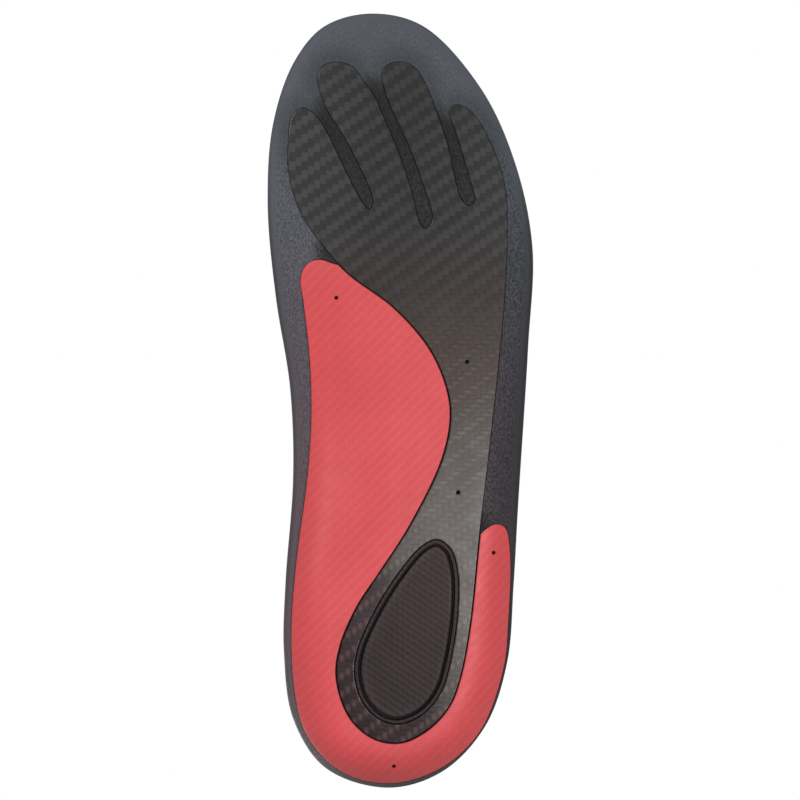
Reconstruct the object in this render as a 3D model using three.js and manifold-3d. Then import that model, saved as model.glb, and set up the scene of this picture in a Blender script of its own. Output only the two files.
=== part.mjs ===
// Cushioned sports insole for a left foot: a knit cover and a soft sheet on a moulded foam base, with a
// slotted carbon-look stabiliser plate, a J-shaped arch and heel shell and a teardrop heel pad underneath.
// Millimetres. +Y points to the toes, +X to the big-toe side, +Z to the foot; z = 0 is the surface it lies on.
import * as THREE from "three";
import { ParametricGeometry } from "three/addons/geometries/ParametricGeometry.js";
import { mergeGeometries, mergeVertices } from "three/addons/utils/BufferGeometryUtils.js";
import Module from "manifold-3d";

// Overall size
const LENGTH = 280;
const WIDTH = 95.2;
const HALF_LENGTH = LENGTH / 2;
const HALF_WIDTH = WIDTH / 2;

// Layer thicknesses, and the clearance left where the glue is
const COVER = 0.8;
const CUSHION = 1.6;
const PLATE = 1.2;
const GLUE_GAP = 0.3;
const SEAM = 0.5; // the open seam between the plate and the shell
const PROUD = 0.5; // how far the plate and the shell stand below the foam around them
const BASE_AT_HEEL = 5.6;
const BASE_AT_TOE = 3.2;
const BASE_AT_RIM = 2.6;
const PAD = 3.4;
const PAD_FLANGE_WIDTH = 1.6;
const PAD_FLANGE_STEP = 0.6; // how far the flange stays back from the face of the pad
const PAD_ROUND = 0.6;

// Heights of the walking side: a rim that curls up all round, and the arch on the big-toe side
const RIM_RISE_HEEL = 12;
const RIM_RISE_TOE = 3;
const RIM_WIDTH_HEEL = 16;
const RIM_WIDTH_TOE = 8.5;
const RIM_FADE = [-0.6, 0.4]; // shares of the half length between which the deep heel rim turns shallow
const ARCH_RISE = 12;
const ARCH_CENTRE = -0.04; // share of the half length
const ARCH_REACH = 0.5; // share of the half length, to each side
const ARCH_FOOT = 0.04; // share of the half width where the arch starts to rise
const ARCH_TOP = 0.86; // share of the half width where it has its full height

const PIN_HOLE_RADIUS = 0.65;

// Mesh fineness
const COLUMNS = 10;
const STATIONS = 36;
const STEPS_PER_POINT = 3;
const PIN_HOLE_SIDES = 8;
const MERGE = 1e-4;
const DEEP = 100; // longer than any height, for cutters that go right through

// Outlines in plan, as [share of the half width, share of the half length]
const FOOTPRINT = [
  [0.218, 1.0],
  [-0.174, 0.968],
  [-0.607, 0.81],
  [-0.864, 0.622],
  [-1.0, 0.402],
  [-0.97, 0.144],
  [-0.9, -0.265],
  [-0.868, -0.469],
  [-0.817, -0.677],
  [-0.649, -0.841],
  [-0.323, -0.958],
  [0.093, -1.0],
  [0.568, -0.949],
  [0.815, -0.822],
  [0.887, -0.646],
  [0.875, -0.467],
  [0.823, -0.2],
  [0.846, 0.042],
  [0.943, 0.273],
  [1.0, 0.52],
  [0.958, 0.718],
  [0.798, 0.877],
  [0.572, 0.967],
];

// The plate, clockwise from the heel: its outer edge, four toe lobes with a slot between each two, and its
// inner edge back to the heel.
const PLATE_OUTER_EDGE = [
  [-0.209, -0.834],
  [-0.367, -0.775],
  [-0.45, -0.701],
  [-0.525, -0.565],
  [-0.594, -0.341],
  [-0.698, -0.035],
  [-0.782, 0.256],
  [-0.804, 0.421],
  [-0.793, 0.54],
  [-0.723, 0.629],
];
const LOBE_4 = [
  [-0.594, 0.719],
  [-0.495, 0.754],
  [-0.421, 0.761],
  [-0.372, 0.749],
];
const SLOT_3 = [
  [-0.421, 0.692],
  [-0.541, 0.555],
  [-0.565, 0.513],
  [-0.51, 0.503],
  [-0.456, 0.523],
  [-0.353, 0.664],
  [-0.269, 0.748],
];
const LOBE_3 = [
  [-0.209, 0.802],
  [-0.106, 0.858],
  [0.023, 0.871],
  [0.129, 0.851],
];
const SLOT_2 = [
  [0.112, 0.797],
  [-0.074, 0.652],
  [-0.172, 0.563],
  [-0.244, 0.47],
  [-0.193, 0.444],
  [-0.15, 0.46],
  [-0.074, 0.555],
  [0.029, 0.654],
  [0.106, 0.715],
];
const LOBE_2 = [
  [0.195, 0.784],
  [0.264, 0.817],
  [0.353, 0.858],
  [0.466, 0.87],
  [0.575, 0.861],
  [0.619, 0.836],
];
const SLOT_1 = [
  [0.564, 0.761],
  [0.466, 0.706],
  [0.367, 0.649],
  [0.198, 0.51],
  [0.232, 0.494],
  [0.277, 0.509],
  [0.458, 0.626],
  [0.541, 0.685],
];
const LOBE_1 = [
  [0.649, 0.739],
  [0.733, 0.754],
  [0.812, 0.732],
  [0.841, 0.644],
  [0.833, 0.585],
  [0.75, 0.489],
];
const PLATE_INNER_EDGE = [
  [0.601, 0.412],
  [0.39, 0.333],
  [0.038, 0.243],
  [-0.226, 0.139],
  [-0.357, 0.037],
  [-0.383, -0.042],
  [-0.315, -0.15],
  [-0.068, -0.321],
  [0.135, -0.428],
  [0.323, -0.525],
  [0.446, -0.624],
  [0.473, -0.703],
  [0.375, -0.803],
  [0.195, -0.857],
  [-0.008, -0.867],
];
const PLATE_OUTLINE = [
  ...PLATE_OUTER_EDGE,
  ...LOBE_4,
  ...SLOT_3,
  ...LOBE_3,
  ...SLOT_2,
  ...LOBE_2,
  ...SLOT_1,
  ...LOBE_1,
  ...PLATE_INNER_EDGE,
];

// The whole field of the shell; the plate's own field is cut out of it, which leaves the J.
const SHELL_OUTLINE = [
  [0.748, 0.323],
  [0.728, 0.254],
  [0.69, 0.135],
  [0.676, -0.032],
  [0.705, -0.19],
  [0.789, -0.417],
  [0.825, -0.595],
  [0.8, -0.743],
  [0.723, -0.847],
  [0.566, -0.92],
  [0.359, -0.967],
  [0.104, -0.983],
  [-0.141, -0.969],
  [-0.412, -0.922],
  [-0.626, -0.841],
  [-0.788, -0.687],
  [-0.823, -0.567],
  [-0.835, -0.388],
  [-0.793, -0.321],
  [-0.718, -0.311],
  [-0.645, -0.323],
  [-0.555, -0.348],
  [-0.456, -0.289],
  [-0.495, -0.092],
  [-0.416, 0.086],
  [-0.198, 0.204],
  [0.149, 0.303],
  [0.376, 0.345],
  [0.503, 0.356],
  [0.6, 0.366],
  [0.69, 0.358],
];

const PAD_OUTLINE = [
  [-0.281, -0.351],
  [-0.168, -0.367],
  [0.03, -0.446],
  [0.206, -0.545],
  [0.319, -0.635],
  [0.338, -0.693],
  [0.287, -0.759],
  [0.158, -0.807],
  [0.01, -0.82],
  [-0.178, -0.793],
  [-0.308, -0.737],
  [-0.381, -0.654],
  [-0.432, -0.533],
  [-0.428, -0.427],
  [-0.375, -0.373],
];

// Moulding pin holes, in the same shares
const SHELL_PIN_HOLES = [
  [0.48, 0.269],
  [-0.705, -0.384],
  [0.046, -0.931],
];
const PLATE_PIN_HOLES = [
  [-0.503, 0.105],
  [-0.436, -0.229],
];

const { clamp, lerp, smoothstep } = THREE.MathUtils;

const wasm = await Module();
wasm.setup();

// A smooth closed outline through the points, counter-clockwise, in millimetres.
function outline(shares) {
  const knots = shares.map(([x, y]) => new THREE.Vector3(x * HALF_WIDTH, y * HALF_LENGTH, 0));
  const curve = new THREE.CatmullRomCurve3(knots, true, "centripetal");
  const points = curve.getPoints(knots.length * STEPS_PER_POINT).slice(1);
  const flat = points.map((p) => new THREE.Vector2(p.x, p.y));
  return THREE.ShapeUtils.isClockWise(flat) ? flat.reverse() : flat;
}

// The same outline moved outwards by a distance, or inwards when the distance is negative.
function grown(loop, distance) {
  return loop.map((point, i) => {
    const before = loop.at(i - 1);
    const after = loop[(i + 1) % loop.length];
    const along = after.clone().sub(before).normalize();
    return new THREE.Vector2(point.x + along.y * distance, point.y - along.x * distance);
  });
}

function circle([x, y], radius) {
  const arc = new THREE.EllipseCurve(x * HALF_WIDTH, y * HALF_LENGTH, radius, radius);
  return arc.getPoints(PIN_HOLE_SIDES).slice(1);
}

// A closed three.js geometry as a solid that can be cut and joined.
function solid(geometry) {
  const bare = geometry.clone();
  bare.deleteAttribute("normal");
  bare.deleteAttribute("uv");
  const merged = mergeVertices(bare, MERGE);
  const vertProperties = merged.attributes.position.array;
  const triVerts = new Uint32Array(merged.index.array);
  return new wasm.Manifold(new wasm.Mesh({ numProp: 3, vertProperties, triVerts }));
}

// An upright prism on an outline, from one height to another.
function prism(loop, low = -DEEP, high = DEEP) {
  const geometry = new THREE.ExtrudeGeometry(new THREE.Shape(loop), {
    depth: high - low,
    bevelEnabled: false,
  });
  return solid(geometry.translate(0, 0, low));
}

const footprint = outline(FOOTPRINT);
const plateLoop = outline(PLATE_OUTLINE);
const shellLoop = outline(SHELL_OUTLINE);
const padLoop = outline(PAD_OUTLINE);

const farthest = (pick) => footprint.reduce((best, p) => (pick(p) > pick(best) ? p : best));
const toeTip = farthest((p) => p.y);
const heelTip = farthest((p) => -p.y);

// Where the footprint's edge crosses a lengthwise position, on the inner (+1) or outer (-1) side.
function edgeAt(y, side) {
  const tip = y > 0 ? toeTip : heelTip;
  let best = tip.x;
  footprint.forEach((a, i) => {
    const b = footprint[(i + 1) % footprint.length];
    const crosses = (a.y - y) * (b.y - y) <= 0 && a.y !== b.y;
    if (!crosses) return;
    const x = lerp(a.x, b.x, (y - a.y) / (b.y - a.y));
    if (side * x > side * best) best = x;
  });
  return best;
}

// How far a point lies inside the edge of the footprint.
function depthInside(x, y) {
  const point = new THREE.Vector3(x, y, 0);
  const nearest = new THREE.Vector3();
  const segment = new THREE.Line3();
  const distances = footprint.map((a, i) => {
    const b = footprint[(i + 1) % footprint.length];
    segment.start.set(a.x, a.y, 0);
    segment.end.set(b.x, b.y, 0);
    segment.closestPointToPoint(point, true, nearest);
    return nearest.distanceTo(point);
  });
  return Math.min(...distances);
}

// The height of the walking side of the plate and the shell: flat, with a curled rim and a raised arch.
function walkingSide(x, y) {
  const towardsToe = smoothstep(y / HALF_LENGTH, ...RIM_FADE);
  const rimWidth = lerp(RIM_WIDTH_HEEL, RIM_WIDTH_TOE, towardsToe);
  const rimRise = lerp(RIM_RISE_HEEL, RIM_RISE_TOE, towardsToe);
  const intoRim = 1 - clamp(depthInside(x, y) / rimWidth, 0, 1);
  const alongArch = 1 - Math.abs(y / HALF_LENGTH - ARCH_CENTRE) / ARCH_REACH;
  const acrossArch = smoothstep(x / HALF_WIDTH, ARCH_FOOT, ARCH_TOP);
  return rimRise * intoRim ** 2 + ARCH_RISE * smoothstep(alongArch, 0, 1) * acrossArch;
}

// The thickness of the foam base: thick under the heel, thinner under the toes and at the rim.
function baseThickness(x, y) {
  const towardsToe = smoothstep(y / HALF_LENGTH, ...RIM_FADE);
  const middle = lerp(BASE_AT_HEEL, BASE_AT_TOE, towardsToe);
  const rimWidth = lerp(RIM_WIDTH_HEEL, RIM_WIDTH_TOE, towardsToe);
  return lerp(BASE_AT_RIM, middle, smoothstep(depthInside(x, y), 0, rimWidth));
}

// Heights of the faces, from the walking side up
const plateTop = (x, y) => walkingSide(x, y) + PLATE;
const recessTop = (x, y) => plateTop(x, y) + GLUE_GAP;
const baseBottom = (x, y) => walkingSide(x, y) + PROUD;
const baseTop = (x, y) => baseBottom(x, y) + baseThickness(x, y);
const cushionBottom = (x, y) => baseTop(x, y) + GLUE_GAP;
const cushionTop = (x, y) => cushionBottom(x, y) + CUSHION;
const coverBottom = (x, y) => cushionTop(x, y) + GLUE_GAP;
const coverTop = (x, y) => coverBottom(x, y) + COVER;
const farBelow = () => -DEEP;

// A point of the footprint's grid: stations run from the heel tip to the toe tip, closer near the tips, and
// columns from the outer edge to the inner edge, closer near the edges.
function gridPoint(column, station, height, target) {
  const y = lerp(heelTip.y, toeTip.y, (1 - Math.cos(Math.PI * station)) / 2);
  const x = lerp(edgeAt(y, -1), edgeAt(y, 1), (1 - Math.cos(Math.PI * column)) / 2);
  target.set(x, y, height(x, y));
}

function face(height) {
  const surface = (u, v, target) => gridPoint(u, v, height, target);
  return new ParametricGeometry(surface, COLUMNS, STATIONS);
}

// The wall between the edges of two faces, up the inner side from the heel tip and back down the outer side.
function wall(lowerFace, upperFace) {
  const surface = (u, v, target) => {
    const inner = u < 0.5;
    const station = inner ? 2 * u : 2 - 2 * u;
    gridPoint(inner ? 1 : 0, station, v < 0.5 ? lowerFace : upperFace, target);
  };
  return new ParametricGeometry(surface, 2 * STATIONS, 1);
}

// The whole footprint between two faces, as one solid.
function layer(lowerFace, upperFace) {
  const bottom = face(lowerFace);
  bottom.index.array.reverse();
  return solid(mergeGeometries([bottom, face(upperFace), wall(lowerFace, upperFace)]));
}

function pinHoles(places) {
  return places.map((place) => prism(circle(place, PIN_HOLE_RADIUS)));
}

function topCover() {
  return layer(coverBottom, coverTop);
}

function cushionSheet() {
  return layer(cushionBottom, cushionTop);
}

// The moulded base, with a shallow bed for the plate and the shell and a deeper one for the pad.
function foamBase() {
  const fields = prism(grown(plateLoop, GLUE_GAP)).add(prism(grown(shellLoop, GLUE_GAP)));
  const bed = layer(farBelow, recessTop).intersect(fields);
  const padBed = prism(grown(padLoop, GLUE_GAP), -DEEP, PAD + GLUE_GAP);
  return layer(baseBottom, baseTop).subtract(bed).subtract(padBed);
}

function stabiliserPlate() {
  const field = prism(plateLoop).subtract(prism(grown(padLoop, GLUE_GAP)));
  const pierced = pinHoles(PLATE_PIN_HOLES).reduce((rest, hole) => rest.subtract(hole), field);
  return layer(walkingSide, plateTop).intersect(pierced);
}

function archHeelShell() {
  const field = prism(shellLoop).subtract(prism(grown(plateLoop, SEAM)));
  const pierced = pinHoles(SHELL_PIN_HOLES).reduce((rest, hole) => rest.subtract(hole), field);
  return layer(walkingSide, plateTop).intersect(pierced);
}

// The pad: a domed face inside a flange that stays back from it.
function heelPad() {
  const flange = prism(padLoop, PAD_FLANGE_STEP, PAD);
  const geometry = new THREE.ExtrudeGeometry(new THREE.Shape(grown(padLoop, -PAD_FLANGE_WIDTH)), {
    depth: PAD - 2 * PAD_ROUND,
    bevelThickness: PAD_ROUND,
    bevelSize: PAD_ROUND,
    bevelOffset: -PAD_ROUND,
    bevelSegments: 2,
  });
  return flange.add(solid(geometry.translate(0, 0, PAD_ROUND)));
}

function piece(name, shape, colour, roughness) {
  const { numProp, vertProperties, triVerts } = shape.getMesh();
  const geometry = new THREE.BufferGeometry();
  geometry.setAttribute("position", new THREE.BufferAttribute(vertProperties, numProp));
  geometry.setIndex(new THREE.BufferAttribute(triVerts, 1));
  geometry.computeVertexNormals();
  const material = new THREE.MeshStandardMaterial({ color: colour, roughness, metalness: 0 });
  const mesh = new THREE.Mesh(geometry, material);
  mesh.name = name;
  return mesh;
}

const insole = new THREE.Group();
insole.add(piece("top_cover", topCover(), 0x2b2530, 0.85));
insole.add(piece("cushion_sheet", cushionSheet(), 0x303036, 0.9));
insole.add(piece("foam_base", foamBase(), 0x33343b, 0.8));
insole.add(piece("stabiliser_plate", stabiliserPlate(), 0x4c4845, 0.4));
insole.add(piece("arch_heel_shell", archHeelShell(), 0xde555a, 0.5));
insole.add(piece("heel_pad", heelPad(), 0x484240, 0.7));

export default insole;
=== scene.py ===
"""Looks of a left-foot cushioned sports insole: moulded foam, a twill plate, an arch and heel shell, a heel
pad, a cushion sheet and a knit cover.

Row frame in metres: +Y to the toes, +X to the big-toe side, +Z to the foot. Shapes are worked out in
millimetres."""

import math

import bpy
import numpy as np
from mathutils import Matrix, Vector
from mathutils.geometry import delaunay_2d_cdt
from mathutils.kdtree import KDTree


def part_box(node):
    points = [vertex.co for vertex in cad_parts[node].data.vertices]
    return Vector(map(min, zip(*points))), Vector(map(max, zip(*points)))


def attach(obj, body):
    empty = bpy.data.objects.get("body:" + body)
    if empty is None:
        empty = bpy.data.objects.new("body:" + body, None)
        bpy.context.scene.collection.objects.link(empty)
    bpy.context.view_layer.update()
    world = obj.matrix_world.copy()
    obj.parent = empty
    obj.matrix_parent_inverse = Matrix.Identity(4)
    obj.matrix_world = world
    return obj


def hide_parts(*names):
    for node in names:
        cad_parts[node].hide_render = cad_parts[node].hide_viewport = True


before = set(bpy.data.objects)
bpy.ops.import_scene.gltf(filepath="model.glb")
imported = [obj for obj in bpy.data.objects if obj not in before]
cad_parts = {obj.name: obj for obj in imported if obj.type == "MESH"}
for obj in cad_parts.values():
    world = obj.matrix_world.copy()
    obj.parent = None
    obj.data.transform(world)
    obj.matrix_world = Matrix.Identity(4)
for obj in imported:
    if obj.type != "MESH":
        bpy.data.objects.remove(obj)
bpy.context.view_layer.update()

MM = 0.001
LOW, HIGH = (np.array(corner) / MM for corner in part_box("foam_base"))
HALF_WIDTH, HALF_LENGTH = (HIGH - LOW)[:2] / 2

# Layers, as in the frame
PLATE = 1.2
PROUD = LOW[2]
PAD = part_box("heel_pad")[1].z / MM
GAP = 0.3
SEAM = 0.5
BASE_AT_HEEL = 5.6
BASE_AT_TOE = 3.2
BASE_AT_RIM = 2.6
CUSHION = 1.6
COVER = 0.8
GLUE_LINE = 0.05  # what shows of the gaps between the soft layers
RIM_RISE_HEEL = 12
RIM_RISE_TOE = 3
RIM_WIDTH_HEEL = 16
RIM_WIDTH_TOE = 8.5
RIM_FADE = (-0.6, 0.4)
ARCH_RISE = 12
ARCH_CENTRE = -0.04
ARCH_REACH = 0.5
ARCH_FOOT = 0.04
ARCH_TOP = 0.86
PIN_HOLE_RADIUS = 0.65

# Edges and small shapes
BED_WALL = (0.06, 0.16)  # the foot and the head of the wall round the plate and the shell
BED_RINGS = (*BED_WALL, 0.3, 0.6, 1.0, 1.6, 2.3, 3.0)  # where the foam round them has its mesh lines
FLUSH = 0.12  # how far the foam stays back from the plate and the shell right next to them
FOAM_ROUND = 1.1
HARD_ROUND = 0.22
SOFT_ROUND = 0.5
SHARP = math.radians(50)  # edges steeper than this are drawn sharp
PAD_FLANGE = 1.1
PAD_FLANGE_STEP = 0.35
PAD_GROOVE = 1.0
PAD_GROOVE_DEPTH = 2.0
PAD_FACE_ROUND = 1.2
PAD_GROOVE_WALL = 0.3  # the steep side of the groove, in plan
PAD_CROWN = 0.25
PAD_CROWN_REACH = 14
RIB_PERIOD = 2.0
RIB_DEPTH = 0.25
RIB_TURN = math.radians(34)
RIB_WAVER = 0.35  # how much the ribs swell and shrink along their length
RIB_START = (0.6, 2.2)  # how far inside the face they come up

# Weave, print and knit
PLATE_CELL = (2.2, 1.63)  # a cell of the twill, along X and along Y
SHELL_CELL = (1.0, 1.0)
STRIPES = 5
DOT_PITCH = 1.9
WALE = 1.0
COURSE = 0.8

# Mesh fineness: the rings are the distances inside an edge at which the mesh has a line
EDGE_RINGS = (0, 0.08, 0.2, 0.4, 0.7, 1.1)
PAD_RINGS = (0, 0.08, 0.2, 0.5, 1.0, 1.1, 1.25, 1.4, 1.9, 2.1, 2.2, 2.35, 2.55, 2.8, 3.1)
PITCH = 2.0
RIB_PITCH = 0.4
SAMPLE = 0.9

# Outlines in plan, as (share of the half width, share of the half length)
FOOTPRINT = [
    (0.218, 1.0), (-0.174, 0.968), (-0.607, 0.81), (-0.864, 0.622), (-1.0, 0.402), (-0.97, 0.144),
    (-0.9, -0.265), (-0.868, -0.469), (-0.817, -0.677), (-0.649, -0.841), (-0.323, -0.958), (0.093, -1.0),
    (0.568, -0.949), (0.815, -0.822), (0.887, -0.646), (0.875, -0.467), (0.823, -0.2), (0.846, 0.042),
    (0.943, 0.273), (1.0, 0.52), (0.958, 0.718), (0.798, 0.877), (0.572, 0.967),
]
PLATE_OUTLINE = [
    # outer edge, from the heel
    (-0.209, -0.834), (-0.367, -0.775), (-0.45, -0.701), (-0.525, -0.565), (-0.594, -0.341),
    (-0.698, -0.035), (-0.782, 0.256), (-0.804, 0.421), (-0.793, 0.54), (-0.723, 0.629),
    # fourth lobe and its slot
    (-0.594, 0.719), (-0.495, 0.754), (-0.421, 0.761), (-0.372, 0.749),
    (-0.421, 0.692), (-0.541, 0.555), (-0.565, 0.513), (-0.51, 0.503), (-0.456, 0.523), (-0.353, 0.664),
    (-0.269, 0.748),
    # third lobe and its slot
    (-0.209, 0.802), (-0.106, 0.858), (0.023, 0.871), (0.129, 0.851),
    (0.112, 0.797), (-0.074, 0.652), (-0.172, 0.563), (-0.244, 0.47), (-0.193, 0.444), (-0.15, 0.46),
    (-0.074, 0.555), (0.029, 0.654), (0.106, 0.715),
    # second lobe and its slot
    (0.195, 0.784), (0.264, 0.817), (0.353, 0.858), (0.466, 0.87), (0.575, 0.861), (0.619, 0.836),
    (0.564, 0.761), (0.466, 0.706), (0.367, 0.649), (0.198, 0.51), (0.232, 0.494), (0.277, 0.509),
    (0.458, 0.626), (0.541, 0.685),
    # big-toe lobe
    (0.649, 0.739), (0.733, 0.754), (0.812, 0.732), (0.841, 0.644), (0.833, 0.585), (0.75, 0.489),
    # inner edge, back to the heel
    (0.601, 0.412), (0.39, 0.333), (0.038, 0.243), (-0.226, 0.139), (-0.357, 0.037), (-0.383, -0.042),
    (-0.315, -0.15), (-0.068, -0.321), (0.135, -0.428), (0.323, -0.525), (0.446, -0.624), (0.473, -0.703),
    (0.375, -0.803), (0.195, -0.857), (-0.008, -0.867),
]
SHELL_OUTLINE = [
    (0.748, 0.323), (0.728, 0.254), (0.69, 0.135), (0.676, -0.032), (0.705, -0.19), (0.789, -0.417),
    (0.825, -0.595), (0.8, -0.743), (0.723, -0.847), (0.566, -0.92), (0.359, -0.967), (0.104, -0.983),
    (-0.141, -0.969), (-0.412, -0.922), (-0.626, -0.841), (-0.788, -0.687), (-0.823, -0.567),
    (-0.835, -0.388), (-0.793, -0.321), (-0.718, -0.311), (-0.645, -0.323), (-0.555, -0.348),
    (-0.456, -0.289), (-0.495, -0.092), (-0.416, 0.086), (-0.198, 0.204), (0.149, 0.303), (0.376, 0.345),
    (0.503, 0.356), (0.6, 0.366), (0.69, 0.358),
]
PAD_OUTLINE = [
    (-0.281, -0.351), (-0.168, -0.367), (0.03, -0.446), (0.206, -0.545), (0.319, -0.635), (0.338, -0.693),
    (0.287, -0.759), (0.158, -0.807), (0.01, -0.82), (-0.178, -0.793), (-0.308, -0.737), (-0.381, -0.654),
    (-0.432, -0.533), (-0.428, -0.427), (-0.375, -0.373),
]
SHELL_PIN_HOLES = [(0.48, 0.269), (-0.705, -0.384), (0.046, -0.931)]
PLATE_PIN_HOLES = [(-0.503, 0.105), (-0.436, -0.229)]


# ---------------------------------------------------------------- outlines in plan, in millimetres


def in_mm(shares):
    """Places in plan, from shares of the half width and the half length."""
    return np.array(shares) * (HALF_WIDTH, HALF_LENGTH)


def outline(shares, spacing=SAMPLE):
    """A smooth closed curve through the points (centripetal Catmull-Rom), counter-clockwise."""
    knots = in_mm(shares)
    parts = []
    for i in range(len(knots)):
        p0, p1, p2, p3 = (knots[(i + k) % len(knots)] for k in (-1, 0, 1, 2))
        d0, d1, d2 = (math.sqrt(np.linalg.norm(b - a)) for a, b in ((p0, p1), (p1, p2), (p2, p3)))
        m1 = ((p1 - p0) / d0 - (p2 - p0) / (d0 + d1) + (p2 - p1) / d1) * d1
        m2 = ((p2 - p1) / d1 - (p3 - p1) / (d1 + d2) + (p3 - p2) / d2) * d1
        steps = max(3, round(np.linalg.norm(p2 - p1) / spacing))
        t = (np.arange(steps) / steps)[:, None]
        hermite = (2 * t**3 - 3 * t**2 + 1) * p1 + (t**3 - 2 * t**2 + t) * m1
        parts.append(hermite + (3 * t**2 - 2 * t**3) * p2 + (t**3 - t**2) * m2)
    loop = np.concatenate(parts)
    return loop if signed_area(loop) > 0 else loop[::-1]


def signed_area(loop):
    x, y = loop.T
    return 0.5 * np.sum(x * np.roll(y, -1) - np.roll(x, -1) * y)


def circle(centre, radius, sides=20):
    angles = np.arange(sides) * 2 * math.pi / sides
    return in_mm([centre])[0] + radius * np.stack([np.cos(angles), np.sin(angles)], axis=1)


def grown(loop, distance):
    """The outline moved outwards, or inwards when the distance is negative."""
    along = np.roll(loop, -1, axis=0) - np.roll(loop, 1, axis=0)
    along /= np.linalg.norm(along, axis=1)[:, None]
    return loop + distance * np.stack([along[:, 1], -along[:, 0]], axis=1)


def distance_to(points, loop):
    """How far each point is from an outline, on either side: the nearer of the two edges at its nearest
    corner."""
    corners = KDTree(len(loop))
    for i, (x, y) in enumerate(loop.tolist()):
        corners.insert((x, y, 0), i)
    corners.balance()
    nearest = np.array([corners.find((x, y, 0))[1] for x, y in points.tolist()])
    offset = points - loop[nearest]
    distances = []
    for neighbour in (nearest - 1, (nearest + 1) % len(loop)):
        edge = loop[neighbour] - loop[nearest]
        share = np.clip(np.sum(offset * edge, axis=1) / np.sum(edge**2, axis=1), 0, 1)
        distances.append(np.linalg.norm(offset - share[:, None] * edge, axis=1))
    return np.minimum(*distances)


def is_inside(points, loop):
    """Whether each point is inside a closed line: a ray to its right then crosses it an odd number of
    times."""
    inside = np.zeros(len(points), bool)
    x, y = points.T
    for (ax, ay), (bx, by) in zip(loop, np.roll(loop, -1, axis=0)):
        if ay == by:
            continue
        spans = (ay > y) != (by > y)
        inside ^= spans & (x < ax + (y - ay) * (bx - ax) / (by - ay))
    return inside


footprint = outline(FOOTPRINT)
plate_loop = outline(PLATE_OUTLINE)
shell_loop = outline(SHELL_OUTLINE)
pad_loop = outline(PAD_OUTLINE)


# ---------------------------------------------------------------- heights, in millimetres


def smoothstep(value, start, end):
    t = np.clip((value - start) / (end - start), 0, 1)
    return t * t * (3 - 2 * t)


def mix(a, b, share):
    return a + (b - a) * share


def walking_side(p):
    """The lower face of the plate and the shell: flat, with a curled rim and a raised arch."""
    towards_toe = smoothstep(p[:, 1] / HALF_LENGTH, *RIM_FADE)
    rim_width = mix(RIM_WIDTH_HEEL, RIM_WIDTH_TOE, towards_toe)
    rim_rise = mix(RIM_RISE_HEEL, RIM_RISE_TOE, towards_toe)
    into_rim = 1 - np.clip(distance_to(p, footprint) / rim_width, 0, 1)
    along = smoothstep(1 - np.abs(p[:, 1] / HALF_LENGTH - ARCH_CENTRE) / ARCH_REACH, 0, 1)
    across = smoothstep(p[:, 0] / HALF_WIDTH, ARCH_FOOT, ARCH_TOP)
    return rim_rise * into_rim**2 + ARCH_RISE * along * across


def base_thickness(p):
    towards_toe = smoothstep(p[:, 1] / HALF_LENGTH, *RIM_FADE)
    middle = mix(BASE_AT_HEEL, BASE_AT_TOE, towards_toe)
    rim_width = mix(RIM_WIDTH_HEEL, RIM_WIDTH_TOE, towards_toe)
    return mix(BASE_AT_RIM, middle, smoothstep(distance_to(p, footprint), 0, rim_width))


def base_top(p):
    return walking_side(p) + PROUD + base_thickness(p)


def outside(p, *loops):
    """How far each point is outside the nearest of some outlines; negative inside one."""
    signed = [np.where(is_inside(p, loop), -1, 1) * distance_to(p, loop) for loop in loops]
    return np.min(signed, axis=0)


def rounded(depth, radius):
    """How far a rounded edge of that radius lies back from the face, at a depth inside the edge."""
    reach = np.clip(radius - depth, 0, radius)
    return radius - np.sqrt(radius**2 - reach**2)


# ---------------------------------------------------------------- meshes


def slab(name, border, holes, lower, upper, offsets=EDGE_RINGS, creases=(), pitch=PITCH):
    """A closed solid between two faces, inside an outline and outside its holes. lower and upper give a
    face's heights at points in plan, from the points and their depths inside the solid's edge. creases are
    other outlines, each with the distances outside it at which the mesh has a line."""
    edges = [(border, -1)] + [(loop, 1) for loop in holes]
    lines = [grown(loop, sign * offset) for loop, sign in edges for offset in offsets]
    lines += [grown(loop, offset) for loop, distances in creases for offset in distances]
    bands = [(loop, offsets[-1]) for loop, _ in edges]
    bands += [(loop, distances[-1]) for loop, distances in creases]
    grid = staggered_grid(border, pitch)
    for loop, reach in bands:
        grid = grid[distance_to(grid, loop) > reach + 0.5 * pitch]
    plan, faces = triangulated(lines, grid)
    centres = plan[faces].mean(axis=1)
    kept = np.ones(len(faces), bool)
    for loop, sign in edges:
        kept &= is_inside(centres, loop) == (sign < 0)
    used, faces = np.unique(faces[kept], return_inverse=True)
    plan = plan[used]
    depth = np.min([distance_to(plan, loop) for loop, _ in edges], axis=0)
    piece = solid_between(name, plan, faces.reshape(-1, 3), lower(plan, depth), upper(plan, depth))
    store(piece, "edge", depth)
    store(piece, "rim", distance_to(plan, footprint))
    return piece, plan


def staggered_grid(loop, pitch):
    columns, rows = (np.arange(a, b, pitch) for a, b in zip(loop.min(axis=0), loop.max(axis=0)))
    grid = np.stack(np.meshgrid(columns, rows), axis=-1)
    grid[1::2, :, 0] += pitch / 2
    return grid.reshape(-1, 2)


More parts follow.
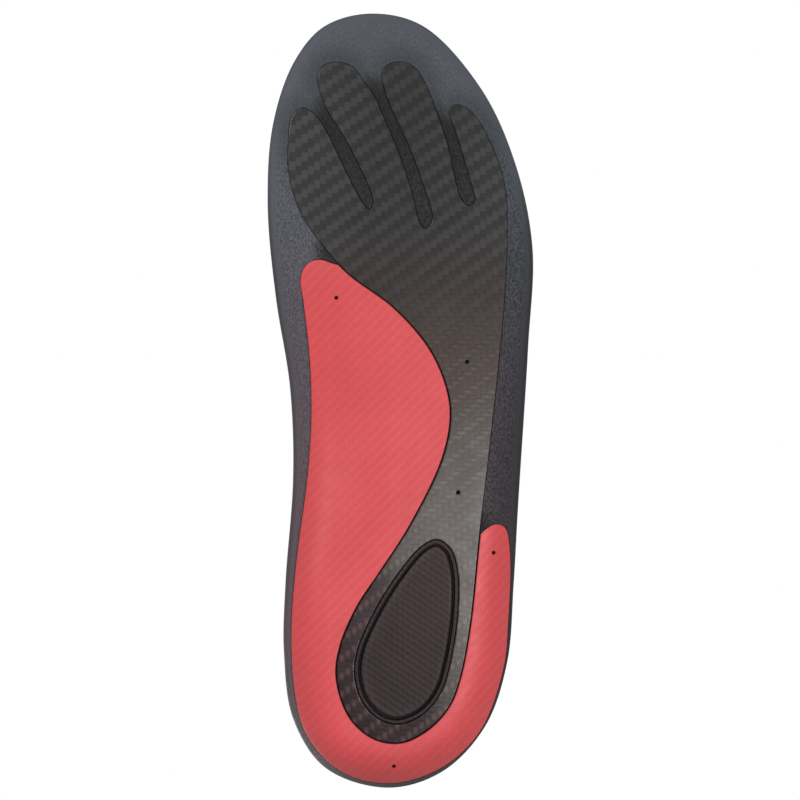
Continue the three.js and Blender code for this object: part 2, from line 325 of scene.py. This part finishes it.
def triangulated(lines, grid):
    """A triangle mesh in plan through closed lines and loose points, with its faces counter-clockwise."""
    constraints = []
    first = 0
    for line in lines:
        indices = first + np.arange(len(line))
        constraints += zip(indices.tolist(), np.roll(indices, -1).tolist())
        first += len(line)
    points = [Vector(p) for p in np.concatenate([*lines, grid])]
    found = delaunay_2d_cdt(points, constraints, [], 0, 1e-4)
    plan = np.array([tuple(v) for v in found[0]])
    faces = np.array(found[2])
    ab, ac = (plan[faces[:, k]] - plan[faces[:, 0]] for k in (1, 2))
    turned = ab[:, 0] * ac[:, 1] < ab[:, 1] * ac[:, 0]
    faces[turned] = faces[turned][:, ::-1]
    return plan, faces


def solid_between(name, plan, faces, lower, upper):
    """Two copies of a triangulated plan at two heights, joined by walls along its boundary."""
    count = len(plan)
    vertices = np.concatenate([np.column_stack([plan, lower]), np.column_stack([plan, upper])]) * MM
    directed = {edge for a, b, c in faces.tolist() for edge in ((a, b), (b, c), (c, a))}
    walls = [(a, b, b + count, a + count) for a, b in sorted(directed) if (b, a) not in directed]
    mesh = bpy.data.meshes.new(name)
    mesh.from_pydata(vertices.tolist(), [], faces[:, ::-1].tolist() + (faces + count).tolist() + walls)
    mesh.polygons.foreach_set("use_smooth", [True] * len(mesh.polygons))
    mesh.set_sharp_from_angle(angle=SHARP)
    piece = bpy.data.objects.new(name, mesh)
    bpy.context.scene.collection.objects.link(piece)
    return piece


def store(piece, name, values):
    """Keeps a value for each point in plan on the mesh, for its material to read."""
    attribute = piece.data.attributes.new(name, "FLOAT", "POINT")
    attribute.data.foreach_set("value", np.tile(values, 2).astype(np.float32))


# ---------------------------------------------------------------- pieces


def pin_holes(places):
    return [circle(place, PIN_HOLE_RADIUS) for place in places]


def plate_face(p, depth):
    return walking_side(p) + rounded(depth, HARD_ROUND)


def plate_back(p, depth):
    return walking_side(p) + PLATE


def stabiliser_plate():
    holes = [grown(pad_loop, GAP), *pin_holes(PLATE_PIN_HOLES)]
    return slab("carbon_look_plate", plate_loop, holes, plate_face, plate_back)[0]


def arch_heel_shell():
    holes = [grown(plate_loop, SEAM), *pin_holes(SHELL_PIN_HOLES)]
    return slab("red_arch_heel_shell", shell_loop, holes, plate_face, plate_back)[0]


def foam_face(p, depth):
    """The foam round the plate and the shell, the bed that they lie in and the deeper bed of the pad."""
    wall_middle = sum(BED_WALL) / 2
    from_bed = outside(p, plate_loop, shell_loop)
    step_back = mix(FLUSH, PROUD, smoothstep(from_bed, BED_WALL[1], BED_RINGS[-1]))
    foam = walking_side(p) + step_back + rounded(depth, FOAM_ROUND)
    bed = walking_side(p) + PLATE + GAP
    height = np.where(from_bed < wall_middle, bed, foam)
    return np.where(outside(p, pad_loop) < wall_middle, PAD + GAP, height)


def foam_back(p, depth):
    return base_top(p)


def foam_base():
    creases = [(loop, BED_RINGS) for loop in (plate_loop, shell_loop)] + [(pad_loop, BED_WALL)]
    piece, plan = slab("moulded_foam_base", footprint, [], foam_face, foam_back, creases=creases)
    store(piece, "enclosed", enclosed_by_plate(plan))
    store(piece, "from_bed", outside(plan, plate_loop, shell_loop))
    return piece


def enclosed_by_plate(p, reach=7.0, directions=24):
    """The share of the surroundings of each point that the plate and the shell take up."""
    around = np.arange(directions) * 2 * math.pi / directions
    steps = reach * np.stack([np.cos(around), np.sin(around)], axis=1)
    hits = [is_inside(p + step, plate_loop) | is_inside(p + step, shell_loop) for step in steps]
    return np.mean(hits, axis=0)


def pad_face(p, depth):
    """A flat flange, a groove, and a slightly crowned face with diagonal ribs."""
    inside_face = depth - PAD_FLANGE - PAD_GROOVE
    crown = PAD_CROWN * (1 - smoothstep(depth, PAD_FLANGE, PAD_CROWN_REACH))
    across = (p[:, 1] * math.cos(RIB_TURN) - p[:, 0] * math.sin(RIB_TURN)) / RIB_PERIOD
    upright = p[:, 0] / RIB_PERIOD
    waver = 1 - RIB_WAVER * (1 - np.cos(2 * math.pi * upright))
    wave = 1 - waver * np.cos(2 * math.pi * across)
    ribs = RIB_DEPTH / 2 * wave * smoothstep(inside_face, *RIB_START)
    face = crown + ribs + rounded(inside_face, PAD_FACE_ROUND)
    wall = smoothstep(depth, PAD_FLANGE, PAD_FLANGE + PAD_GROOVE_WALL)
    groove = mix(PAD_FLANGE_STEP, PAD_GROOVE_DEPTH, wall)
    return np.where(inside_face < -PAD_GROOVE / 8, groove + rounded(depth, HARD_ROUND), face)


def pad_back(p, depth):
    return np.full(len(p), PAD)


def heel_pad():
    return slab("ribbed_heel_pad", pad_loop, [], pad_face, pad_back, PAD_RINGS, pitch=RIB_PITCH)[0]


def cushion_top(p):
    return base_top(p) + GAP + CUSHION + GAP - GLUE_LINE


def cushion_face(p, depth):
    return base_top(p) + GLUE_LINE + rounded(depth, SOFT_ROUND)


def cushion_back(p, depth):
    return cushion_top(p) - rounded(depth, SOFT_ROUND)


def cushion_sheet():
    return slab("soft_cushion_sheet", footprint, [], cushion_face, cushion_back)[0]


def cover_face(p, depth):
    return cushion_top(p) + GLUE_LINE


def cover_back(p, depth):
    return cover_face(p, depth) + COVER - rounded(depth, SOFT_ROUND)


def top_cover():
    return slab("printed_top_cover", footprint, [], cover_face, cover_back)[0]


# ---------------------------------------------------------------- materials


def srgb(red, green, blue):
    """A linear colour from the usual 0 to 255 values."""
    shares = np.array([red, green, blue]) / 255
    linear = np.where(shares < 0.04045, shares / 12.92, ((shares + 0.055) / 1.055) ** 2.4)
    return (*linear.tolist(), 1.0)


class Material:
    """A material under construction: each call adds a node and gives its output."""

    def __init__(self, name, **constants):
        self.material = bpy.data.materials.new(name)
        self.material.use_nodes = True
        self.tree = self.material.node_tree
        self.shader = self.tree.nodes["Principled BSDF"]
        for socket, value in constants.items():
            self.shader.inputs[socket.replace("_", " ")].default_value = value

    def add(self, kind, inputs, **settings):
        node = self.tree.nodes.new("ShaderNode" + kind)
        for key, value in settings.items():
            setattr(node, key, value)
        for socket, value in inputs.items():
            self.put(value, node.inputs[socket])
        return node

    def put(self, value, socket):
        if isinstance(value, bpy.types.NodeSocket):
            self.tree.links.new(value, socket)
        else:
            socket.default_value = value

    def math(self, operation, *values):
        return self.add("Math", dict(enumerate(values)), operation=operation).outputs[0]

    def product(self, first, *others):
        for other in others:
            first = self.math("MULTIPLY", first, other)
        return first

    def plan(self, turn=0.0):
        """Millimetres along X and Y, turned about Z."""
        place = self.add("TexCoord", {}).outputs["Object"]
        turned = self.add("VectorRotate", {"Vector": place, "Angle": turn}, rotation_type="Z_AXIS")
        scaled = self.add("VectorMath", {0: turned.outputs[0], "Scale": 1 / MM}, operation="SCALE")
        split = self.add("SeparateXYZ", {0: scaled.outputs[0]})
        return split.outputs[0], split.outputs[1]

    def attribute(self, name):
        return self.add("Attribute", {}, attribute_name=name).outputs["Fac"]

    def noise(self, size, detail=2.0, roughness=0.5, stretch=1.0):
        """Smooth noise with features of about that many millimetres, and longer along Y by the stretch."""
        place = self.add("TexCoord", {}).outputs["Object"]
        squeezed = self.add("VectorMath", {0: place, 1: (1, 1 / stretch, 1)}, operation="MULTIPLY")
        inputs = {"Scale": 1 / (size * MM), "Detail": detail, "Roughness": roughness}
        return self.add("TexNoise", {"Vector": squeezed.outputs[0], **inputs}).outputs["Fac"]

    def grain(self, size):
        """Rounded cells of about that many millimetres, 0 in the creases between them."""
        place = self.add("TexCoord", {}).outputs["Object"]
        bent = self.add("TexNoise", {"Vector": place, "Scale": 1 / (size * MM)}).outputs["Color"]
        shift = self.add("VectorMath", {0: bent, "Scale": 0.7 * size * MM}, operation="SCALE").outputs[0]
        moved = self.add("VectorMath", {0: place, 1: shift}, operation="ADD").outputs[0]
        inputs = {"Vector": moved, "Scale": 1 / (size * MM)}
        cells = self.add("TexVoronoi", inputs, feature="DISTANCE_TO_EDGE").outputs["Distance"]
        return self.range(cells, (0, 0.35), (0, 1))

    def range(self, value, source, target, smooth=True):
        limits = dict(zip(("From Min", "From Max", "To Min", "To Max"), (*source, *target)))
        kind = "SMOOTHSTEP" if smooth else "LINEAR"
        return self.add("MapRange", {"Value": value, **limits}, interpolation_type=kind).outputs[0]

    def exceeds(self, a, b, softness):
        """1 where a is above b and 0 where it is below, with a short slope between them."""
        return self.range(self.math("SUBTRACT", a, b), (-softness, softness), (0, 1), smooth=False)

    def between(self, a, b, share):
        return self.add("Mix", {0: share, 2: a, 3: b}, data_type="FLOAT").outputs[0]

    def blend(self, a, b, share):
        return self.add("Mix", {0: share, 6: a, 7: b}, data_type="RGBA").outputs[2]

    def tint(self, colour, amount):
        """The colour made darker or lighter by a factor."""
        return self.add("VectorMath", {0: colour, "Scale": amount}, operation="SCALE").outputs[0]

    def twill(self, width, length):
        """A 2/2 twill of cells of that many millimetres along X and Y: whether the lengthwise tow is on
        top, the rounded height of the tows, and a random number for each tow."""
        u, v = (self.math("DIVIDE", axis, size) for axis, size in zip(self.plan(), (width, length)))
        column, row = (self.math("FLOOR", axis) for axis in (u, v))
        across, along = (self.math("FRACT", axis) for axis in (u, v))
        step = self.math("FLOORED_MODULO", self.math("ADD", column, row), 4.0)
        lengthwise = self.math("LESS_THAN", step, 1.5)
        half = self.math("MODULO", step, 2.0)
        side = self.between(along, across, lengthwise)
        end = self.math("DIVIDE", self.math("ADD", self.between(across, along, lengthwise), half), 2.0)
        profiles = [self.math("SINE", self.math("MULTIPLY", share, math.pi)) for share in (side, end)]
        height = self.math("POWER", self.math("MULTIPLY", *profiles), 0.5)
        tow = self.between(row, column, lengthwise)
        lot = self.add("TexWhiteNoise", {"W": tow}, noise_dimensions="1D").outputs["Value"]
        return lengthwise, height, lot

    def finish(self, piece, colour, roughness, height, depth):
        """Puts the colour, the roughness and a relief of that many millimetres on the shader, and the
        material on the piece."""
        bump = self.add("Bump", {"Height": height, "Distance": depth * MM, "Strength": 1.0})
        self.put(colour, self.shader.inputs["Base Color"])
        self.put(roughness, self.shader.inputs["Roughness"])
        self.put(bump.outputs[0], self.shader.inputs["Normal"])
        piece.data.materials.append(self.material)


def foam_material(piece):
    """Moulded foam with a leather-like grain inside a smooth rim, and darker round the toes. Painted shade
    lies between the toe lobes and along the plate and the shell, painted shadow along the rim behind
    the toes and on the outer side, and a painted sheen near the rim at the toes.
    """
    m = Material("grained_foam", Specular_IOR_Level=0.16)
    x, y = m.plan()
    rim = m.attribute("rim")
    from_bed = m.attribute("from_bed")
    enclosed = m.range(m.attribute("enclosed"), (0.42, 0.78), (0, 1))
    toe_end = m.range(y, (45.0, 100.0), (0, 1))
    arch_side = m.range(x, (-10.0, 20.0), (0, 1))

    heel_colour = m.blend(srgb(72, 66, 71), srgb(93, 81, 87), arch_side)
    open_colour = m.blend(heel_colour, srgb(76, 80, 86), m.range(y, (-45.0, 95.0), (0, 1)))
    colour = m.blend(open_colour, srgb(80, 78, 78), enclosed)

    # painted shade between the toe lobes, where the plate and the shell close round the foam
    slot_painted_shade = m.between(1.0, 0.27, enclosed)
    # painted shade along the edges of the plate and the shell, strongest between the toe lobes
    seam_shadow = m.range(from_bed, (0.2, 0.7), (0.45, 1.0))
    seam_shade = m.between(1.0, seam_shadow, m.between(0.15, 1.0, enclosed))
    # darker next to the plate and the shell, and further out from them round the toes
    offset_behind_toes = m.range(y, (60.0, 105.0), (8.0, 0.0))
    darker_near_bed = m.range(m.math("ADD", from_bed, offset_behind_toes), (1.0, 9.0), (0.68, 0.97))
    # painted shadow along the rim behind the toes, and a painted sheen near the rim at the toes
    rim_shadow = m.range(rim, (0.3, 2.2), (0.62, 1.0))
    rim_painted_sheen = m.range(rim, (2.0, 10.0), (1.12, 1.0))
    rim_shadow_and_sheen = m.between(rim_shadow, rim_painted_sheen, toe_end)
    outer_shadow = m.range(x, (-36.0, -24.0), (0.62, 1.0))
    outer_side = m.between(outer_shadow, 1.0, m.math("MULTIPLY", toe_end, 0.8))

    leather = m.noise(0.6, 4.0, 0.6, stretch=1.8)
    inner = m.range(rim, (2.0, 4.5), (0.2, 1.0))
    smooth_toes = m.range(y, (75.0, 115.0), (1.0, 0.35))
    grained = m.product(inner, smooth_toes, m.between(1.0, 0.75, arch_side))
    mottle = m.between(1.0, m.range(leather, (0.34, 0.66), (0.55, 1.42)), grained)
    shade = m.product(slot_painted_shade, seam_shade, darker_near_bed, rim_shadow_and_sheen, outer_side, mottle)
    roughness = m.range(leather, (0.35, 0.65), (0.72, 0.55))
    m.finish(piece, m.tint(colour, shade), roughness, m.math("MULTIPLY", leather, inner), depth=0.3)


def plate_material(piece):
    """Carbon-look twill under a satin coat: neutral in front, brown round the pad, warmer at the waist.
    Painted shade lies where the tows dip; painted highlights pale the crowns of the tows round the pad and
    make a lattice of glints on the floats from the middle back; a painted sheen lightens the waist, the
    sides of the forefoot and the outer side of the heel."""
    m = Material("satin_twill", Specular_IOR_Level=0.28, Coat_Weight=0.1, Coat_Roughness=0.15)
    x, y = m.plan()
    lengthwise, height, lot = m.twill(*PLATE_CELL)

    front = m.blend(srgb(40, 39, 40), srgb(52, 51, 52), lengthwise)
    narrow = m.blend(srgb(54, 43, 38), srgb(56, 45, 40), lengthwise)
    # warmer and paler from the waist back: a warm tone, and partly a painted sheen
    waist = m.blend(narrow, srgb(62, 54, 51), m.range(y, (-15.0, -50.0), (0, 1)))
    # the lengthwise tows paler at their crowns: a two-tone weave, and a painted highlight on the crowns
    heel = m.blend(srgb(30, 8, 14), srgb(52, 31, 35), m.math("MULTIPLY", lengthwise, height))
    behind_waist = m.range(y, (-54.0, -70.0), (0, 1))
    round_pad = m.math("MULTIPLY", behind_waist, m.range(x, (-20.0, -8.0), (0, 1)))
    colour = m.blend(m.blend(front, waist, m.range(y, (70.0, 10.0), (0, 1))), heel, round_pad)

    # darker where the tows dip: painted shade
    weave = m.range(height, (0, 1), (0.9, 1.03))
    lots = m.range(lot, (0, 1), (0.93, 1.07), smooth=False)
    # painted glints on the crowns of the floats, from the middle of the plate back
    crosswise = m.math("SUBTRACT", 1.0, lengthwise)
    pale = m.between(crosswise, lengthwise, m.range(y, (-20.0, -60.0), (0, 1)))
    float_glints = m.product(m.math("POWER", height, 4.0), pale, m.range(y, (55.0, -5.0), (0, 1)))
    # a painted sheen on both sides of the forefoot
    from_middle = m.math("ABSOLUTE", m.math("ADD", x, 4.0))
    side_painted_sheen = m.range(from_middle, (10.0, 36.0), (1.0, 1.35))
    forefoot_painted_sheen = m.between(1.0, side_painted_sheen, m.range(y, (35.0, 80.0), (0, 1)))
    # a painted sheen on the outer side of the heel
    outer_arm_painted_sheen = m.range(x, (-20.0, -26.0), (1.0, 1.45))
    arm_painted_sheen = m.between(1.0, outer_arm_painted_sheen, m.range(y, (-60.0, -80.0), (0, 1)))
    edge = m.range(m.attribute("edge"), (0.05, 0.4), (1.15, 1.0))
    shade = m.product(weave, lots, forefoot_painted_sheen, arm_painted_sheen, edge, m.math("ADD", 1.0, float_glints))

    smears = m.range(m.noise(9.0, 4.0), (0.3, 0.7), (0.18, 0.26))
    roughness = m.between(smears, 0.36, m.math("MULTIPLY", lengthwise, 0.15))
    m.finish(piece, m.tint(colour, shade), roughness, height, depth=0.009)


def shell_material(piece):
    """Red moulded shell with a fine twill pressed into it; painted shade lies where the twill dips and where
    the shell turns up at the heel.
    """
    m = Material("red_fine_twill", Specular_IOR_Level=0.4)
    y = m.plan()[1]
    lengthwise, height, lot = m.twill(*SHELL_CELL)
    colour = m.blend(srgb(198, 68, 72), srgb(203, 72, 75), lengthwise)
    # darker where the twill dips: painted shade
    pressed = m.range(height, (0, 1), (0.92, 1.01))
    lots = m.range(lot, (0, 1), (0.98, 1.02))
    clouds = m.range(m.noise(28.0), (0.35, 0.65), (0.97, 1.03))
    edge = m.range(m.attribute("edge"), (0.0, 0.5), (0.8, 1.0))
    # painted shade where the shell turns up at the heel
    heel_end_painted_shade = m.range(y, (-114.0, -138.0), (1.0, 0.8))
    shade = m.product(pressed, lots, clouds, edge, heel_end_painted_shade)
    roughness = m.range(m.noise(5.0, 4.0), (0.3, 0.7), (0.42, 0.54))
    m.finish(piece, m.tint(colour, shade), roughness, height, depth=0.035)


def pad_material(piece):
    """Dark elastomer: a satin flange, a groove with painted shade, and a ribbed face with painted shade and
    highlights along its ribs and a painted highlight along its rounded edge, paler towards the toes."""
    m = Material("ribbed_elastomer", Specular_IOR_Level=0.2)
    x, y = m.plan()
    depth = m.attribute("edge")
    face_edge = PAD_FLANGE + PAD_GROOVE
    groove = m.range(depth, (PAD_FLANGE - 0.1, PAD_FLANGE + 0.2), (0, 1))
    face = m.range(depth, (face_edge - 0.15, face_edge + 0.35), (0, 1))
    # the groove darker than the flange: painted shade in the recess
    flange_and_shaded_groove = m.blend(srgb(36, 27, 29), srgb(14, 8, 9), groove)
    colour = m.blend(flange_and_shaded_groove, srgb(46, 35, 36), face)

    turn_per_mm = 2 * math.pi / RIB_PERIOD
    across = m.math("COSINE", m.math("MULTIPLY", m.plan(-RIB_TURN)[1], turn_per_mm))
    upright = m.math("COSINE", m.math("MULTIPLY", x, turn_per_mm))
    weave = m.math("ADD", across, m.math("MULTIPLY", upright, 0.6))
    # lighter on the crests of the ribs and darker between them: painted highlight and shade
    ribs = m.range(m.math("ADD", weave, m.noise(1.2)), (-1.0, 2.2), (0.78, 1.3))
    # a painted highlight along the rounded edge of the face
    edge_painted_highlight = m.range(depth, (face_edge + 0.3, face_edge + 3.0), (1.3, 1.0))
    towards_toe = m.range(y, (-95.0, -60.0), (1.0, 1.25))
    fine = m.noise(0.5, 3.0)
    clouds = m.range(m.math("ADD", fine, m.noise(14.0)), (0.6, 1.4), (0.84, 1.14))
    shade = m.product(edge_painted_highlight, ribs, towards_toe, clouds)
    roughness = m.between(0.55, m.range(fine, (0.3, 0.7), (0.5, 0.62)), face)
    m.finish(piece, m.tint(colour, shade), roughness, m.math("MULTIPLY", fine, face), depth=0.06)


def cushion_material(piece):
    """Open-cell foam sheet, seen at its cut edge, with painted shade in the creases between its cells."""
    m = Material("open_cell_foam", Specular_IOR_Level=0.2, Sheen_Weight=0.15)
    cells = m.grain(0.7)
    foam = m.blend(srgb(52, 52, 60), srgb(64, 62, 70), m.noise(12.0))
    # darker in the creases between the cells: painted shade
    colour = m.tint(foam, m.range(cells, (0, 1), (0.6, 1.05)))
    m.finish(piece, colour, m.range(cells, (0, 1), (0.95, 0.8)), cells, depth=0.2)


def flowing_stripes(m):
    """Red stripes from heel to toe, thin at the waist and fanned out at both ends, with red corners beside
    them."""
    x, y = m.plan()
    across = m.math("DIVIDE", x, float(HALF_WIDTH))
    along = m.math("DIVIDE", y, float(HALF_LENGTH))
    from_waist = m.math("ABSOLUTE", m.math("ADD", along, 0.02))
    sway = m.math("MULTIPLY", m.math("SINE", m.math("MULTIPLY", along, 4.2)), 0.07)
    fan_width = m.range(from_waist, (0.0, 0.95), (0.3, 0.74))
    fan = m.math("DIVIDE", m.math("ADD", across, sway), fan_width)
    from_middle = m.math("ABSOLUTE", fan)

    turns = m.math("FRACT", m.math("ADD", m.math("MULTIPLY", fan, STRIPES / 2), 0.5))
    from_stripe = m.math("ABSOLUTE", m.math("SUBTRACT", turns, 0.5))
    swell = m.range(from_waist, (0.05, 0.5), (0.04, 0.22))
    taper = m.range(from_waist, (0.55, 1.0), (1.0, 0.45))
    stripes = m.exceeds(m.math("MULTIPLY", swell, taper), from_stripe, 0.01)
    inside_fan = m.exceeds(1.0, from_middle, 0.01)
    corners = m.exceeds(from_middle, m.range(from_waist, (0.12, 0.6), (3.5, 1.06)), 0.005)
    return m.math("MAXIMUM", m.math("MULTIPLY", stripes, inside_fan), corners)


def halftone_distance(m):
    """How far each point is from the nearest middle of a honeycomb of dots, in pitches."""
    x, y = m.plan()
    columns = m.math("DIVIDE", x, DOT_PITCH)
    rows = m.math("DIVIDE", y, DOT_PITCH * math.sqrt(3))
    distances = []
    for shift in (0.0, 0.5):
        shifted = [m.math("ADD", place, shift) for place in (columns, rows)]
        offsets = [m.math("SUBTRACT", m.math("FRACT", place), 0.5) for place in shifted]
        squares = [m.math("POWER", offset, 2.0) for offset in offsets]
        total = m.math("ADD", squares[0], m.math("MULTIPLY", squares[1], 3.0))
        distances.append(m.math("SQRT", total))
    return m.math("MINIMUM", *distances)


def knit(m):
    """The relief of a plain knit: columns of small V shapes."""
    x, y = m.plan()
    column = m.math("DIVIDE", x, WALE)
    leg = m.math("ABSOLUTE", m.math("SUBTRACT", m.math("FRACT", column), 0.5))
    slanted = m.math("ADD", m.math("DIVIDE", y, COURSE), m.math("MULTIPLY", leg, 1.2))
    loops = m.math("SINE", m.math("MULTIPLY", slanted, 2 * math.pi))
    legs = m.math("SINE", m.math("MULTIPLY", leg, 2 * math.pi))
    return m.math("ADD", m.math("MULTIPLY", legs, 0.6), m.math("MULTIPLY", loops, 0.25))


def cover_material(piece):
    """Black knit printed with flowing red stripes, duller and with larger dark dots towards both ends."""
    m = Material("printed_knit", Specular_IOR_Level=0.2, Sheen_Weight=0.25, Sheen_Roughness=0.4)
    from_middle = m.math("ABSOLUTE", m.plan()[1])
    dot_radius = m.range(from_middle, (70.0, 135.0), (0.2, 0.34))
    dots = m.range(m.math("SUBTRACT", dot_radius, halftone_distance(m)), (-0.04, 0.04), (0, 0.55))
    dull = m.range(from_middle, (60.0, 138.0), (0, 0.75))
    red = m.blend(srgb(206, 66, 80), srgb(150, 66, 80), dull)
    dotted = m.blend(red, srgb(92, 38, 48), dots)
    black = m.blend(srgb(40, 33, 42), srgb(48, 42, 52), m.noise(9.0))
    face = m.range(m.attribute("edge"), (0.15, 0.45), (0, 1))
    printed = m.blend(black, dotted, m.math("MULTIPLY", flowing_stripes(m), face))

    loops = knit(m)
    shade = m.range(loops, (-0.3, 0.8), (0.78, 1.08))
    m.finish(piece, m.tint(printed, shade), m.range(loops, (0, 0.8), (0.9, 0.72)), loops, depth=0.12)


def floor_material(piece):
    """Pale and matt from above; from below it isn't there, so that the underside can be looked at."""
    m = Material("pale_floor")
    m.put(m.range(m.noise(400.0), (0, 1), (0.9, 0.8)), m.shader.inputs["Roughness"])
    m.shader.inputs["Base Color"].default_value = srgb(226, 225, 222)
    clear = m.add("BsdfTransparent", {}).outputs[0]
    below = m.add("NewGeometry", {}).outputs["Backfacing"]
    sides = m.add("MixShader", {0: below, 1: m.shader.outputs[0], 2: clear}).outputs[0]
    m.put(sides, m.tree.nodes["Material Output"].inputs["Surface"])
    piece.data.materials.append(m.material)


# ---------------------------------------------------------------- studio


def floor():
    mesh = bpy.data.meshes.new("floor")
    reach = 3.0
    height = -0.0003
    signs = [(-1, -1), (1, -1), (1, 1), (-1, 1)]
    corners = [(reach * x, reach * y, height) for x, y in signs]
    mesh.from_pydata(corners, [], [(0, 1, 2, 3)])
    plane = bpy.data.objects.new("floor", mesh)
    bpy.context.scene.collection.objects.link(plane)
    plane.visible_shadow = False
    plane.visible_diffuse = False
    plane.visible_glossy = False
    floor_material(plane)


def area_light(name, place, size, power):
    """A round lamp that shines at the middle of the insole."""
    data = bpy.data.lights.new(name, "AREA")
    data.shape = "DISK"
    data.size = size
    data.energy = power
    light = bpy.data.objects.new(name, data)
    light.location = place
    light.rotation_euler = Vector(place).to_track_quat("Z", "Y").to_euler()
    light.visible_camera = False
    bpy.context.scene.collection.objects.link(light)


def sun_above(name, towards, strength):
    """An even, soft light that leaves the pale floor as bright far away as near by."""
    data = bpy.data.lights.new(name, "SUN")
    data.energy = strength
    data.angle = math.radians(30)
    light = bpy.data.objects.new(name, data)
    light.rotation_euler = Vector(towards).to_track_quat("Z", "Y").to_euler()
    bpy.context.scene.collection.objects.link(light)


def white_world(strength):
    """A white backdrop that lights the insole softly from all round."""
    world = bpy.data.worlds.new("studio")
    world.use_nodes = True
    nodes = world.node_tree.nodes
    links = world.node_tree.links
    backdrop = nodes.new("ShaderNodeMixShader")
    links.new(nodes.new("ShaderNodeLightPath").outputs["Is Camera Ray"], backdrop.inputs[0])
    for socket, brightness in ((1, strength), (2, 1.0)):
        white = nodes.new("ShaderNodeBackground")
        white.inputs["Strength"].default_value = brightness
        white.inputs["Color"].default_value = (1, 1, 1, 1)
        links.new(white.outputs[0], backdrop.inputs[socket])
    links.new(backdrop.outputs[0], nodes["World Output"].inputs["Surface"])
    bpy.context.scene.world = world


def camera(distance=0.7947, towards_toe=0.001):
    """Straight below the insole and looking up, with the toes at the top of the picture."""
    data = bpy.data.cameras.new("camera")
    data.lens = 100
    data.sensor_width = 36
    view = bpy.data.objects.new("camera", data)
    view.location = (0, towards_toe, -distance)
    view.rotation_euler = (0, math.pi, 0)
    bpy.context.scene.collection.objects.link(view)
    bpy.context.scene.camera = view


def studio():
    camera()
    floor()
    white_world(0.5)
    area_light("key_below", (0.8, 0.6, -0.85), size=0.6, power=7.5)
    area_light("sheen_below", (-0.105, -0.105, -0.84), size=0.21, power=0.8)
    area_light("side_below", (-0.45, -0.2, -0.75), size=0.3, power=3.2)
    sun_above("key_above", (0.6, -0.5, 1.0), strength=1.15)
    area_light("fill_above", (-0.8, 0.4, 0.9), size=0.8, power=2.0)
    bpy.context.scene.view_settings.view_transform = "Standard"


# ---------------------------------------------------------------- assembly


def fit(piece, node, paint):
    """Gives a piece its material, and puts it in the place of its CAD node."""
    paint(piece)
    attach(piece, "root")
    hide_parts(node)
    return piece


studio()
fit(stabiliser_plate(), "stabiliser_plate", plate_material)
shell = fit(arch_heel_shell(), "arch_heel_shell", shell_material)
shell.visible_diffuse = False  # the lights that show the underside don't tint the floor red
base = fit(foam_base(), "foam_base", foam_material)
pad = fit(heel_pad(), "heel_pad", pad_material)
cushion = fit(cushion_sheet(), "cushion_sheet", cushion_material)
cover = fit(top_cover(), "top_cover", cover_material)
